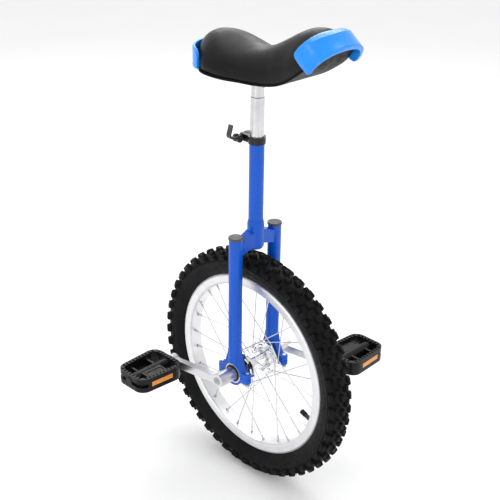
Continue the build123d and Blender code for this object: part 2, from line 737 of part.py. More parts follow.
with BuildPart() as clamp_nut:
    with BuildSketch(across(nut_from, clamp_x, clamp_z)):
        Circle(7.0)
        with PolarLocations(7.6, 9):
            Circle(1.5, mode=Mode.SUBTRACT)
        Circle(2.5, mode=Mode.SUBTRACT)
    extrude(amount=nut_to - nut_from - 2)
    with BuildSketch(across(nut_to - 2, clamp_x, clamp_z)):
        Circle(5.0)
        Circle(2.5, mode=Mode.SUBTRACT)
    extrude(amount=3)
keep("clamp_nut", clamp_nut.part)

# the lever: a cam barrel whose axis runs fore and aft, and a curved arm that points up when shut
lever_half_width = 7.0
arm_hook = [(-4.5, 2.0), (-21.0, 7.5), (-16.5, 28.0)]     # (y, z) from the barrel's axis
fork_half_gap = 2.8
with BuildPart() as clamp_lever:
    with BuildSketch(Plane.YZ.offset(clamp_x)):
        with Locations((cam_y, clamp_z)):
            Circle(cam_radius)
    extrude(amount=lever_half_width, both=True)
    with BuildLine():
        lever_line = Spline(*[(clamp_x, cam_y + y, clamp_z + z) for y, z in arm_hook],
                            tangents=[(0, -1, 0.05), (0, 0.25, 1)])
    with BuildSketch(Plane(origin=lever_line @ 0, x_dir=(1, 0, 0), z_dir=lever_line % 0)):
        RectangleRounded(10, 4.2, 1.5)
    sweep()
    # the fork that lets the skewer reach the pin, open on the side of the washer and of the arm's swing
    with BuildSketch(Plane.YZ.offset(clamp_x)):
        with Locations((cam_y, clamp_z)):
            Circle(cam_radius + 0.6)
    extrude(amount=fork_half_gap, both=True, mode=Mode.SUBTRACT)
    with Locations(Plane(origin=(clamp_x, cam_y, clamp_z), z_dir=(1, 0, 0))):
        Cylinder(pin_radius + 0.08, 30, mode=Mode.SUBTRACT)
keep("clamp_lever", clamp_lever.part)

with BuildPart() as lever_pin:
    with Locations(Plane(origin=(clamp_x, cam_y, clamp_z), z_dir=(1, 0, 0))):
        Cylinder(pin_radius, 2 * lever_half_width)
keep("clamp_lever_pin", lever_pin.part)

# ---------------------------------------------------------------- seat post
plate_thickness = 3.0
post_neck_radius = 11.4
flute_count = 12
with BuildPart() as seat_post:
    with BuildSketch(Plane.XY.offset(post_bottom)):
        Circle(post_diameter / 2)
    extrude(amount=post_step - post_bottom)
    chamfer(seat_post.edges().group_by(Axis.Z)[-1], 0.9)
    with BuildSketch(Plane.XY.offset(post_step)):
        Circle(post_neck_radius)
    extrude(amount=saddle_pad_bottom - plate_thickness - post_step)
    with BuildSketch(Plane.XY.offset(post_bottom)):
        Circle(post_diameter / 2 - 2.4)
    extrude(amount=saddle_pad_bottom - plate_thickness - post_bottom, mode=Mode.SUBTRACT)
    with BuildSketch(Plane.XY.offset(post_bottom + 30)):
        with PolarLocations(post_diameter / 2 + 0.9, flute_count):
            Circle(1.5)
    extrude(amount=post_step - 6 - post_bottom - 30, mode=Mode.SUBTRACT)
keep("seat_post", seat_post.part)

mount_bolt_spots = [(x, y) for x in (-32, 32) for y in (-20, 20)]
with BuildPart() as post_plate:
    with BuildSketch(Plane.XY.offset(saddle_pad_bottom - plate_thickness)):
        RectangleRounded(84, 58, 10)
        with Locations(*mount_bolt_spots):
            Circle(3.1, mode=Mode.SUBTRACT)
    extrude(amount=plate_thickness)
keep("post_plate", post_plate.part)

# ---------------------------------------------------------------- saddle
base_thickness = 4.0
# stations along the saddle: x, half width, underside, top of the cushion
saddle_stations = [
    (-125, 16, 817, 851), (-118, 31, 814.5, 859), (-110, 40, 813, 865), (-92, 57, 811, 872),
    (-68, 71, 808.5, 873.5), (-38, 72, 806.5, 867), (-12, 68, 806, 861.5), (12, 61, 806, 860.5),
    (38, 55, 806, 867), (62, 50, 808, 880), (95, 50, 817, 899), (125, 53, 834, 912),
    (150, 53, 853, 914), (165, 47, 869, 909), (176, 35, 881, 902), (183, 19, 887, 896),
]
side_share = 0.3             # how much of the cushion's height its sides are upright for
dome_powers = (1.8, 1.5)     # how the dome falls away across and down


def saddle_loft(section):
    """A solid through every station, with a sketch for each drawn by section."""
    with BuildPart() as solid:
        for x, half_width, under, top in saddle_stations:
            with BuildSketch(Plane(origin=(x, 0, 0), x_dir=(0, 1, 0), z_dir=(1, 0, 0))):
                section(half_width, under, top)
        loft()
    return solid.part


def base_section(half_width, under, top):
    """A thin slab with eased corners."""
    with Locations((0, under + base_thickness / 2)):
        RectangleRounded(2 * half_width, base_thickness, 1.8)


def cushion_section(half_width, under, top):
    """Upright sides with a dome over them."""
    low = under + base_thickness + 1.5
    spring = low + side_share * (top - low)
    across_power, down_power = dome_powers
    shares = [0.4, 0.7, 0.9]
    right = [(half_width * a, spring + (top - spring) * (1 - a**across_power) ** (1 / down_power))
             for a in reversed(shares)]
    dome = [(half_width, spring), *right, (0, top), *[(-y, z) for y, z in reversed(right)],
            (-half_width, spring)]
    with BuildLine() as outline:
        Spline(*dome, tangents=[(0, 1), (0, -1)])
        Polyline((-half_width, spring), (-half_width, low), (half_width, low), (half_width, spring))
    make_face(outline.edges())


# the front bumper wraps the raised nose on a plane that leans back with it
lean = radians(52)
bumper_plane = Plane(origin=(199, 0, 894), x_dir=(cos(lean), 0, sin(lean)), z_dir=(-sin(lean), 0, cos(lean)))
bumper_height = 43.0
bumper_wall = 5.5
bumper_long, bumper_half = 46.0, 59.0
bumper_arm = 58.5
rear_center, rear_long, rear_half = -52.0, 78.0, 75.0
rear_bottom, rear_top, rear_front = 812.0, 852.0, -73.5


def front_room(grow):
    """Everything outside the front bumper's inner wall, for cutting the cushion clear of it."""
    with BuildPart() as room:
        with BuildSketch(bumper_plane.offset(-8)):
            with Locations((-bumper_arm - 0.3, 0)):
                Rectangle(130, 180, align=(Align.MIN, Align.CENTER))
            with Locations((-bumper_long, 0)):
                Ellipse(bumper_long - bumper_wall - grow, bumper_half - bumper_wall - grow,
                        mode=Mode.SUBTRACT)
        extrude(amount=bumper_height + 16)
    return room.part


def rear_room(grow):
    """Everything outside the rear bumper's inner wall, over its height."""
    with BuildPart() as room:
        with BuildSketch(Plane.XY.offset(rear_bottom - 20)):
            with Locations((rear_front + 0.3, 0)):
                Rectangle(90, 200, align=(Align.MAX, Align.CENTER))
            with Locations((rear_center, 0)):
                Ellipse(rear_long - bumper_wall - grow, rear_half - bumper_wall - grow, mode=Mode.SUBTRACT)
        extrude(amount=rear_top - rear_bottom + 20.3)
    return room.part


with BuildPart() as saddle_base:
    add(saddle_loft(base_section))
    add(front_room(0.2), mode=Mode.SUBTRACT)
    add(rear_room(0.2), mode=Mode.SUBTRACT)
    # flat seats for the post's plate below and for the bolt heads above
    with Locations((0, 0, saddle_pad_bottom)):
        Box(88, 62, 20, align=(Align.CENTER, Align.CENTER, Align.MAX), mode=Mode.SUBTRACT)
    with Locations(*[(x, y, saddle_pad_bottom + base_thickness - 1) for x, y in mount_bolt_spots]):
        Cylinder(6.3, 20, align=(Align.CENTER, Align.CENTER, Align.MIN), mode=Mode.SUBTRACT)
    with Locations(*[(x, y, saddle_pad_bottom) for x, y in mount_bolt_spots]):
        Cylinder(3.1, 30, mode=Mode.SUBTRACT)
keep("saddle_base", saddle_base.part)

with BuildPart() as saddle_cushion:
    add(saddle_loft(cushion_section))
    add(front_room(0.3), mode=Mode.SUBTRACT)
    add(rear_room(0.3), mode=Mode.SUBTRACT)
    with Locations(*[(x, y, saddle_pad_bottom) for x, y in mount_bolt_spots]):
        Cylinder(6.5, 30, mode=Mode.SUBTRACT)
keep("saddle_cushion", saddle_cushion.part)

with BuildPart() as front_bumper:
    with BuildSketch(bumper_plane):
        with Locations((-bumper_long, 0)):
            Ellipse(bumper_long, bumper_half)
            Ellipse(bumper_long - bumper_wall, bumper_half - bumper_wall, mode=Mode.SUBTRACT)
        with Locations((-bumper_arm, 0)):
            Rectangle(80, 180, align=(Align.MAX, Align.CENTER), mode=Mode.SUBTRACT)
    extrude(amount=bumper_height)
keep("front_bumper", front_bumper.part)

with BuildPart() as rear_bumper:
    with BuildSketch(Plane.XY.offset(rear_bottom)):
        with Locations((rear_center, 0)):
            Ellipse(rear_long, rear_half)
            Ellipse(rear_long - bumper_wall, rear_half - bumper_wall, mode=Mode.SUBTRACT)
        with Locations((rear_front, 0)):
            Rectangle(200, 200, align=(Align.MIN, Align.CENTER), mode=Mode.SUBTRACT)
    extrude(amount=rear_top - rear_bottom)
keep("rear_bumper", rear_bumper.part)

with BuildPart() as saddle_bolts:
    for x, y in mount_bolt_spots:
        with BuildSketch(Plane.XY.offset(saddle_pad_bottom - plate_thickness)):
            with Locations((x, y)):
                RegularPolygon(5.5, 6)
        extrude(amount=-5)
        with BuildSketch(Plane.XY.offset(saddle_pad_bottom - plate_thickness - 8)):
            with Locations((x, y)):
                Circle(3.0)
        extrude(amount=8 + plate_thickness + base_thickness)
        with BuildSketch(Plane.XY.offset(saddle_pad_bottom + base_thickness - 1)):
            with Locations((x, y)):
                Circle(6.0)
        extrude(amount=3)
keep("saddle_bolts", saddle_bolts.part)
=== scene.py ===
# %% [markdown]
# # A unicycle in Blender
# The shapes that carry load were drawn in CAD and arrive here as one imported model. This lesson
# dresses that model: it gives every piece a finish, and remakes the pieces that CAD drew plainly,
# which are the tyre with its tread, the padded saddle with its two bumpers, and the two bearing caps.
# Everything is in metres, forward is +X, the rider's left is +Y, and the wheel stands on z = 0.

# %% Load the frame and note its size
import json
from math import atan2, cos, pi, radians, sin, sqrt

import bmesh
import bpy
from mathutils import Matrix, Vector

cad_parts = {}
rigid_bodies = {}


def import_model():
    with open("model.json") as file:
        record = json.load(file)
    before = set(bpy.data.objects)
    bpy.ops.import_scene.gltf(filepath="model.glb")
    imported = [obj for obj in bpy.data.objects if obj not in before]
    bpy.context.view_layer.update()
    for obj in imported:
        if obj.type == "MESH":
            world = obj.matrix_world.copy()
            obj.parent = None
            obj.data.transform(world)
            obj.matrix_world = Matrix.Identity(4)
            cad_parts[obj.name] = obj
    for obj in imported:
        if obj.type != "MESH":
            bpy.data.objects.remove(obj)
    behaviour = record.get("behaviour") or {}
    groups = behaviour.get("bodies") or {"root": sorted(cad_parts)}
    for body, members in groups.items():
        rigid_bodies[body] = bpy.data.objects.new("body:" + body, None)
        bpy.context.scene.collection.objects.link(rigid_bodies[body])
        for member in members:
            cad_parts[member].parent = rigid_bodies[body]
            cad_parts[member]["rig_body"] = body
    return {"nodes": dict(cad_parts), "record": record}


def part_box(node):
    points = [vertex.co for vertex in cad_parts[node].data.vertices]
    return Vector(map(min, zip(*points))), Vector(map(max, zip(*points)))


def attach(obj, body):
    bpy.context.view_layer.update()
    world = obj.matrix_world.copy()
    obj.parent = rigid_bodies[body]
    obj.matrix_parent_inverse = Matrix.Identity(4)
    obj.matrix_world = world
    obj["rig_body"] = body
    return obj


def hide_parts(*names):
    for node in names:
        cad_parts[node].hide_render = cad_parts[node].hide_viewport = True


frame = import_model()
scene = bpy.context.scene
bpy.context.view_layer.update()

# %% [markdown]
# ## Where the camera stands
# A camera is easiest to place by thinking of a ball round the object. It stands out from a target
# point by a distance, turned to one side by an azimuth and raised by an elevation, and may be tilted
# a little about its own line of sight. A long lens from two metres keeps the wheel from bulging.

# %% Camera
MM = 0.001
camera_azimuth, camera_elevation, camera_roll = radians(-45.16), radians(25.64), radians(0.77)
camera_distance = 1.9123     # metres
camera_lens, camera_sensor = 75.07, 36      # millimetres
camera_target = Vector((-0.0068, -0.0068, 0.47574))


def aim_camera():
    """Stand the camera out from the target and turn it to look back."""
    out = Vector((cos(camera_elevation) * cos(camera_azimuth),
                  cos(camera_elevation) * sin(camera_azimuth), sin(camera_elevation)))
    level = Vector((-sin(camera_azimuth), cos(camera_azimuth), 0))
    upright = out.cross(level)
    right = cos(camera_roll) * level + sin(camera_roll) * upright
    up = -sin(camera_roll) * level + cos(camera_roll) * upright
    turn = Matrix((right, up, out)).transposed().to_4x4()
    data = bpy.data.cameras.new("camera")
    data.lens, data.sensor_width = camera_lens, camera_sensor
    data.clip_start, data.clip_end = 0.05, 50
    camera = bpy.data.objects.new("camera", data)
    scene.collection.objects.link(camera)
    camera.matrix_world = Matrix.Translation(camera_target + out * camera_distance) @ turn
    scene.camera = camera
    return camera


camera = aim_camera()
print("camera at", [round(v, 3) for v in camera.location])

# %% [markdown]
# ## Light and floor
# Product light is broad and soft: a bright room with a few large panels. The panels give the paint
# and the chrome something to mirror, and the bright room keeps the black parts from going solid.
# The floor is a plain pale sheet.

# %% Room, panels and floor
def bright_room(strength):
    """An even white surround."""
    world = bpy.data.worlds.new("room")
    world.use_nodes = True
    background = world.node_tree.nodes["Background"]
    background.inputs["Color"].default_value = (1, 1, 1, 1)
    background.inputs["Strength"].default_value = strength
    scene.world = world


def panel(name, place, size, watts, target=(0, 0, 0.5)):
    """A soft rectangular light that faces the target."""
    data = bpy.data.lights.new(name, "AREA")
    data.shape, data.size, data.size_y, data.energy = "RECTANGLE", size[0], size[1], watts
    light = bpy.data.objects.new(name, data)
    scene.collection.objects.link(light)
    light.location = place
    light.rotation_euler = (Vector(place) - Vector(target)).to_track_quat("Z", "Y").to_euler()
    return light


scene.view_settings.view_transform = "Standard"
bright_room(0.92)
panel("top_panel", (-0.5, 0.7, 2.7), (1.8, 1.8), 22)
panel("left_panel", (0.3, -2.4, 1.4), (0.35, 2.0), 13)
panel("right_panel", (2.3, 1.2, 1.3), (0.5, 1.8), 6)
panel("back_panel", (-1.8, 1.6, 1.9), (1.2, 1.2), 10)

floor_mesh = bpy.data.meshes.new("floor")
floor_maker = bmesh.new()
bmesh.ops.create_grid(floor_maker, x_segments=1, y_segments=1, size=6)
floor_maker.to_mesh(floor_mesh)
floor_maker.free()
floor = bpy.data.objects.new("floor", floor_mesh)
scene.collection.objects.link(floor)

# %% [markdown]
# ## How the finishes are made
# A finish is a small tree of nodes. Each one here starts from the same few ideas: a noise that shifts
# the colour a little, a second one that makes the surface shinier in some places than in others, and
# a third that raises and lowers it. All of them read Object coordinates, so a pattern stays put when
# a piece turns. What is the same everywhere is typed straight into the shader.

# %% Helpers for node trees
class Finish:
    """A material under construction, with short names for the nodes that most finishes share."""

    def __init__(self, name, colour, roughness, **constants):
        self.material = bpy.data.materials.new(name)
        self.material.use_nodes = True
        self.tree = self.material.node_tree
        self.shader = self.tree.nodes["Principled BSDF"]
        self.shader.inputs["Base Color"].default_value = (*colour, 1)
        self.shader.inputs["Roughness"].default_value = roughness
        for socket, value in constants.items():
            self.shader.inputs[socket.replace("_", " ")].default_value = value
        self.colour = colour
        self.roughness = roughness
        self.last_bump = None
        self.place = self.add("ShaderNodeTexCoord").outputs["Object"]

    def add(self, kind, **settings):
        node = self.tree.nodes.new(kind)
        for key, value in settings.items():
            if key in node.inputs and not hasattr(node, key):
                node.inputs[key].default_value = value
            else:
                setattr(node, key, value)
        return node

    def join(self, source, target):
        self.tree.links.new(source, target)

    def noise(self, scale, detail=3.0, stretch=(1, 1, 1), centre=(0, 0, 0)):
        """Noise at so many lumps to the metre, drawn out along an axis by a small stretch."""
        mapping = self.add("ShaderNodeMapping")
        mapping.inputs["Scale"].default_value = stretch
        mapping.inputs["Location"].default_value = centre
        self.join(self.place, mapping.inputs["Vector"])
        noise = self.add("ShaderNodeTexNoise")
        noise.inputs["Scale"].default_value = scale
        noise.inputs["Detail"].default_value = detail
        self.join(mapping.outputs[0], noise.inputs["Vector"])
        return noise.outputs["Fac"]

    def measure(self, source, low, high, from_low=0.35, from_high=0.65):
        """Stretch a pattern's middle range to run from low to high."""
        node = self.add("ShaderNodeMapRange")
        limits = {"From Min": from_low, "From Max": from_high, "To Min": low, "To Max": high}
        for key, value in limits.items():
            node.inputs[key].default_value = value
        self.join(source, node.inputs["Value"])
        return node.outputs["Result"]

    def tint(self, pattern, other, low=0.4, high=0.6):
        """Let the colour drift towards another one where the pattern is high."""
        ramp = self.add("ShaderNodeValToRGB")
        start, end = ramp.color_ramp.elements
        start.position, end.position = low, high
        start.color, end.color = (*self.colour, 1), (*other, 1)
        self.join(pattern, ramp.inputs["Fac"])
        self.join(ramp.outputs["Color"], self.shader.inputs["Base Color"])
        return self

    def uneven_shine(self, pattern, spread):
        """Roughness that wanders either side of its usual value."""
        result = self.measure(pattern, self.roughness - spread, self.roughness + spread)
        self.join(result, self.shader.inputs["Roughness"])
        return self

    def relief(self, pattern, depth, strength=1.0):
        """Raise the surface by the pattern, up to a depth in metres. Calls stack."""
        bump = self.add("ShaderNodeBump")
        bump.inputs["Strength"].default_value = strength
        bump.inputs["Distance"].default_value = depth
        self.join(pattern, bump.inputs["Height"])
        if self.last_bump:
            self.join(self.last_bump.outputs["Normal"], bump.inputs["Normal"])
        self.last_bump = bump
        self.join(bump.outputs["Normal"], self.shader.inputs["Normal"])
        return self

    def radius_from_axle(self):
        """Distance from the axle's line, for marks that run round the wheel."""
        mapping = self.add("ShaderNodeMapping")
        mapping.inputs["Location"].default_value = (0, 0, -axle_height)
        mapping.inputs["Scale"].default_value = (1, 0, 1)
        self.join(self.place, mapping.inputs["Vector"])
        length = self.add("ShaderNodeVectorMath", operation="LENGTH")
        self.join(mapping.outputs[0], length.inputs[0])
        return length.outputs["Value"]

    def lines(self, distance, per_metre, detail=2.0):
        """Fine parallel lines, uneven as a tool leaves them, across a distance."""
        noise = self.add("ShaderNodeTexNoise", noise_dimensions="1D")
        noise.inputs["Scale"].default_value = per_metre
        noise.inputs["Detail"].default_value = detail
        self.join(distance, noise.inputs["W"])
        return noise.outputs["Fac"]

    def along(self, axis):
        """The distance along one axis."""
        split = self.add("ShaderNodeSeparateXYZ")
        self.join(self.place, split.inputs[0])
        return split.outputs[axis]


axle_height = sum(v.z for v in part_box("axle")) / 2
finishes = {}
print("axle height", round(axle_height / MM, 1), "mm")

# %% [markdown]
# ## Paint and plastic
# The frame is steel with a thick glossy paint: a clear coat over the colour, and the faint orange
# peel that sprayed paint dries with. The bumpers are moulded plastic of a lighter blue, less glossy
# and very slightly mottled. Black plastics differ in how they were moulded: the pedals have a fine
# pebbled skin, and the clamp collar is smoother and shinier.

# %% Painted and moulded finishes
def paint(name, colour, deep):
    """Glossy sprayed paint with orange peel, and duller where hands and dust have been."""
    made = Finish(name, colour, 0.34, Coat_Weight=0.22, Coat_Roughness=0.08, Specular_IOR_Level=0.22)
    made.tint(made.noise(9, 2), deep, 0.35, 0.75)
    made.uneven_shine(made.noise(70, 4), 0.07)
    made.relief(made.noise(420, 2), 0.00025, 0.16)
    made.relief(made.noise(2600, 2), 0.00005, 0.12)
    return made.material


def moulded(name, colour, other, roughness, grain=1800, depth=0.00012, strength=0.3, **constants):
    """Moulded plastic or rubber: a fine pebbled skin with slow changes of colour and shine."""
    made = Finish(name, colour, roughness, **constants)
    made.tint(made.noise(38, 4), other, 0.38, 0.66)
    made.uneven_shine(made.noise(120, 5), min(0.09, roughness / 3))
    made.relief(made.noise(grain, 3), depth, strength)
    made.relief(made.noise(grain / 14, 3), depth * 3, strength * 0.35)
    return made.material


finishes["frame_blue"] = paint("frame_blue", (0.0, 0.092, 0.56), (0.0, 0.078, 0.5))
finishes["bumper_blue"] = moulded("bumper_blue", (0.004, 0.27, 0.86), (0.003, 0.25, 0.83), 0.3,
                                  grain=900, depth=0.00008, strength=0.12, Coat_Weight=0.2,
                                  Coat_Roughness=0.12, Specular_IOR_Level=0.35)
finishes["pedal_black"] = moulded("pedal_black", (0.004, 0.004, 0.0045), (0.008, 0.008, 0.0085), 0.3,
                                  Specular_IOR_Level=0.2)
finishes["base_black"] = moulded("base_black", (0.004, 0.004, 0.004), (0.006, 0.006, 0.006), 0.5,
                                 Specular_IOR_Level=0.08)
finishes["clamp_black"] = moulded("clamp_black", (0.004, 0.004, 0.0045), (0.008, 0.008, 0.0085), 0.3,
                                  grain=1200, strength=0.15, Specular_IOR_Level=0.4)
finishes["lever_grey"] = moulded("lever_grey", (0.03, 0.03, 0.032), (0.05, 0.05, 0.052), 0.33)
finishes["plug_grey"] = moulded("plug_grey", (0.05, 0.051, 0.055), (0.07, 0.071, 0.075), 0.45)
finishes["cap_grey"] = moulded("cap_grey", (0.28, 0.285, 0.29), (0.36, 0.365, 0.37), 0.34)
finishes["bush_plastic"] = moulded("bush_plastic", (0.62, 0.62, 0.6), (0.7, 0.7, 0.68), 0.4)
finishes["seal_rubber"] = moulded("seal_rubber", (0.012, 0.012, 0.012), (0.02, 0.02, 0.02), 0.5)
finishes["tube_black"] = moulded("tube_black", (0.014, 0.014, 0.014), (0.022, 0.022, 0.022), 0.55)
print(len(finishes), "painted and moulded finishes")

# %% [markdown]
# ## Metals
# Bright metal shows its making. A turned part has rings round its axis, a drawn bar or tube has lines
# along it, and a cast and polished crank has only soft clouds. The rim is rolled and satin, so its
# marks run round the wheel. Polished steel gets almost no relief, or it would sparkle.

# %% Metal finishes
def metal(name, colour, other, roughness, spread=0.06, depth=0.00002, turned=None, drawn=None,
          round_axle=0):
    """A metal, with marks turned across one axis, drawn along another, or rolled round the wheel."""
    made = Finish(name, colour, roughness, Metallic=1.0)
    clouds = made.noise(60, 4)
    made.tint(clouds, other, 0.35, 0.7)
    marks = made.noise(700, 3)
    if turned is not None:
        marks = made.lines(made.along(turned), 2600)
    if drawn is not None:
        stretch = [1, 1, 1]
        stretch[drawn] = 0.02
        marks = made.noise(1500, 3, stretch)
    if round_axle:
        marks = made.lines(made.radius_from_axle(), round_axle)
    made.uneven_shine(marks, spread)
    made.relief(marks, depth, 0.5)
    return made.material


finishes["rim_silver"] = metal("rim_silver", (0.8, 0.8, 0.81), (0.74, 0.74, 0.76), 0.38, 0.07,
                               0.00004, round_axle=900)
finishes["spoke_steel"] = metal("spoke_steel", (0.72, 0.72, 0.73), (0.62, 0.62, 0.64), 0.22)
finishes["hub_chrome"] = metal("hub_chrome", (0.86, 0.86, 0.87), (0.78, 0.79, 0.8), 0.13, 0.05, turned=1)
finishes["bearing_steel"] = metal("bearing_steel", (0.7, 0.7, 0.71), (0.6, 0.6, 0.62), 0.2, turned=1)
finishes["washer_brass"] = metal("washer_brass", (0.72, 0.52, 0.25), (0.6, 0.42, 0.2), 0.27, turned=1)
finishes["crank_silver"] = metal("crank_silver", (0.7, 0.7, 0.72), (0.62, 0.62, 0.65), 0.36, 0.05, 0.00004)
finishes["fastener_steel"] = metal("fastener_steel", (0.5, 0.5, 0.52), (0.36, 0.36, 0.38), 0.3)
finishes["post_silver"] = metal("post_silver", (0.7, 0.7, 0.71), (0.62, 0.62, 0.64), 0.2, 0.05, drawn=2)
print(len(finishes), "finishes so far")

# %% [markdown]
# ## Rubber, cover, tape and reflector
# Tyre rubber is nearly black and dull, a little dusty in places. The saddle's cover is a smooth coated
# cloth: a fine leathery pebble, and a soft sheen that brightens at a shallow angle. The rim tape is
# woven, from two sets of crossing waves. A reflector is a clear amber plate over a grid of tiny prisms,
# so its relief is a regular chequer and not a noise.

# %% Special finishes
def rubber(name):
    made = Finish(name, (0.0035, 0.0035, 0.0037), 0.5, Specular_IOR_Level=0.1)
    made.tint(made.noise(26, 5), (0.0085, 0.0083, 0.008), 0.42, 0.72)
    made.uneven_shine(made.noise(150, 4), 0.1)
    made.relief(made.noise(900, 4), 0.0002, 0.35)
    return made.material


def coated_cloth(name):
    made = Finish(name, (0.0045, 0.0045, 0.0047), 0.36, Specular_IOR_Level=0.17)
    made.tint(made.noise(18, 4), (0.008, 0.008, 0.0083), 0.4, 0.7)
    made.uneven_shine(made.noise(60, 4), 0.05)
    pebbles = made.add("ShaderNodeTexVoronoi", feature="DISTANCE_TO_EDGE")
    pebbles.inputs["Scale"].default_value = 1100
    made.join(made.place, pebbles.inputs["Vector"])
    made.relief(pebbles.outputs["Distance"], 0.00014, 0.22)
    made.relief(made.noise(240, 3), 0.0003, 0.08)
    return made.material


def woven_tape(name):
    made = Finish(name, (0.45, 0.44, 0.41), 0.8)
    made.tint(made.noise(200, 4), (0.56, 0.55, 0.52), 0.4, 0.65)
    made.uneven_shine(made.noise(90), 0.08)
    for axis in ("X", "Y"):
        weave = made.add("ShaderNodeTexWave", bands_direction=axis)
        weave.inputs["Scale"].default_value = 320
        made.join(made.place, weave.inputs["Vector"])
        made.relief(weave.outputs["Fac"], 0.0002, 0.5)
    return made.material


def prisms(name):
    made = Finish(name, (0.86, 0.33, 0.035), 0.24, Coat_Weight=0.3, Coat_Roughness=0.08)
    checks = made.add("ShaderNodeTexChecker")
    checks.inputs["Scale"].default_value = 620
    checks.inputs["Color1"].default_value = (1, 1, 1, 1)
    checks.inputs["Color2"].default_value = (0, 0, 0, 1)
    made.join(made.place, checks.inputs["Vector"])
    made.tint(checks.outputs["Fac"], (0.66, 0.22, 0.02), 0.2, 0.9)
    made.uneven_shine(made.noise(300), 0.08)
    made.relief(checks.outputs["Fac"], 0.0004, 0.5)
    return made.material


finishes["tyre_black"] = rubber("tyre_black")
finishes["saddle_black"] = coated_cloth("saddle_black")
finishes["tape_cloth"] = woven_tape("tape_cloth")
finishes["reflector_amber"] = prisms("reflector_amber")

pale = Finish("floor_paper", (0.95, 0.95, 0.95), 0.8)
pale.tint(pale.noise(3, 3), (0.96, 0.96, 0.96))
pale.relief(pale.noise(500, 3), 0.0002, 0.05)
floor.data.materials.append(pale.material)
print(len(finishes), "finishes in all")

# %% [markdown]
# ## Finishes onto the CAD pieces
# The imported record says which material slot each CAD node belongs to. Walking through it gives every
# node its finish by name, so nothing is left plain by accident.

# %% Dress the CAD nodes
slot_of = {part["node"]: part["material_slot"] for part in frame["record"]["subparts"]}
for name, thing in frame["nodes"].items():
    thing.data.materials.clear()
    thing.data.materials.append(finishes[slot_of[name]])
print(len(slot_of), "CAD nodes dressed")

# %% [markdown]
# ## Turning a bmesh into a finished piece
# Every new piece ends the same way. Doubled points are merged, the faces are turned to point outwards,
# and the mesh becomes an object that rides on a body, stands for its CAD nodes and has a finish.

# %% Finish a piece
def make_piece(maker, name, body, slot, stands_for=(), crease=35):
    """Turn a bmesh into an object that rides on a body."""
    bmesh.ops.remove_doubles(maker, verts=maker.verts, dist=1e-6)
    bmesh.ops.recalc_face_normals(maker, faces=maker.faces)
    mesh = bpy.data.meshes.new(name)
    maker.to_mesh(mesh)
    maker.free()
    mesh.shade_smooth()
    mesh.set_sharp_from_angle(angle=radians(crease))
    mesh.materials.append(finishes[slot])
    piece = bpy.data.objects.new(name, mesh)
    scene.collection.objects.link(piece)
    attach(piece, body)
    if stands_for:
        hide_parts(*stands_for)
    print(f"{name}: {len(mesh.polygons)} faces on {body}")
    return piece


# %% [markdown]
# ## The tyre
# A tyre is one section turned round the axle, so its casing is a spin of one closed outline: the outside
# from bead to bead, then the inside a wall's thickness in. Drawing the outline as a list of offsets and
# radii keeps it easy to compare with a cut tyre.

# %% Tyre casing
knob_height = 6.0
casing_outside = [(0, 229.4), (8, 228.8), (14.5, 226.8), (19.5, 223.2), (22.8, 218.4), (24.0, 213.2),
                  (24.3, 212.2), (24.9, 211.0), (24.5, 209.8), (23.9, 208.6), (23.2, 204.0), (21.2, 198.0),
                  (18.6, 192.6), (16.4, 188.4), (15.2, 186.6), (13.4, 184.6), (12.4, 184.0), (12.4, 182.1),
                  (13.2, 181.2), (13.2, 177.8), (10.4, 177.8)]
casing_wall = 2.6


def wheel_point(y, radius, angle=0.0):
    """A point on the wheel, from its offset, its distance from the axle and its angle."""
    return Vector((radius * cos(angle), y, axle_height / MM + radius * sin(angle))) * MM


def turned_about_axle(maker, points, steps=144):
    """Spin a closed section, given as (offset, radius) pairs, right round the axle."""
    verts = [maker.verts.new(wheel_point(y, r)) for y, r in points]
    edges = [maker.edges.new(pair) for pair in zip(verts, verts[1:] + verts[:1])]
    bmesh.ops.spin(maker, geom=verts + edges, cent=(0, 0, axle_height), axis=(0, 1, 0),
                   angle=2 * pi, steps=steps, use_merge=True)


def casing_section():
    """The closed outline of the casing: the outside, then the inside a wall's thickness in."""
    inside = [(0, 229.4 - casing_wall), (13.2, 224.2), (19.0, 219.2), (21.2, 212.6), (20.6, 205.2),
              (18.6, 199.0), (15.6, 193.0), (12.4, 187.2), (10.2, 183.0), (10.0, 177.8)]
    right_out = [(-y, r) for y, r in reversed(casing_outside)]
    right_in = [(-y, r) for y, r in reversed(inside)][:-1]
    return right_out + casing_outside[1:] + list(reversed(inside)) + list(reversed(right_in))


# %% [markdown]
# ## The tread
# The knobs are blocks of rubber moulded onto the casing, in three rows on each side: two on the crown
# and one that hangs over the shoulder. Each block is a cube with a smaller top and a rounded upper
# edge. It is made at the origin and then carried to its place by one matrix, which turns it round the
# axle, leans it to the side and twists it. Its foot is sunk a little, so that no gap shows.

# %% Tread blocks
tread_pitches = 48
foot_depth = 1.4             # how far a block's foot is sunk into the casing
top_shrink = (0.8, 0.78, 1)  # the top's size, as a share of the foot's
top_edge = 1.4               # rounding of the top's edges
# each kind of block: offset across, height of its foot, length round, width across, lean out, twist,
# share of a pitch that it is set back by
block_kinds = [
    (5.4, 227.6, 14.5, 9.0, 5, 9, 0.00),
    (14.6, 224.4, 13.5, 7.6, 28, -7, 0.42),
    (21.8, 218.4, 16.5, 9.5, 57, 0, 0.16),
]


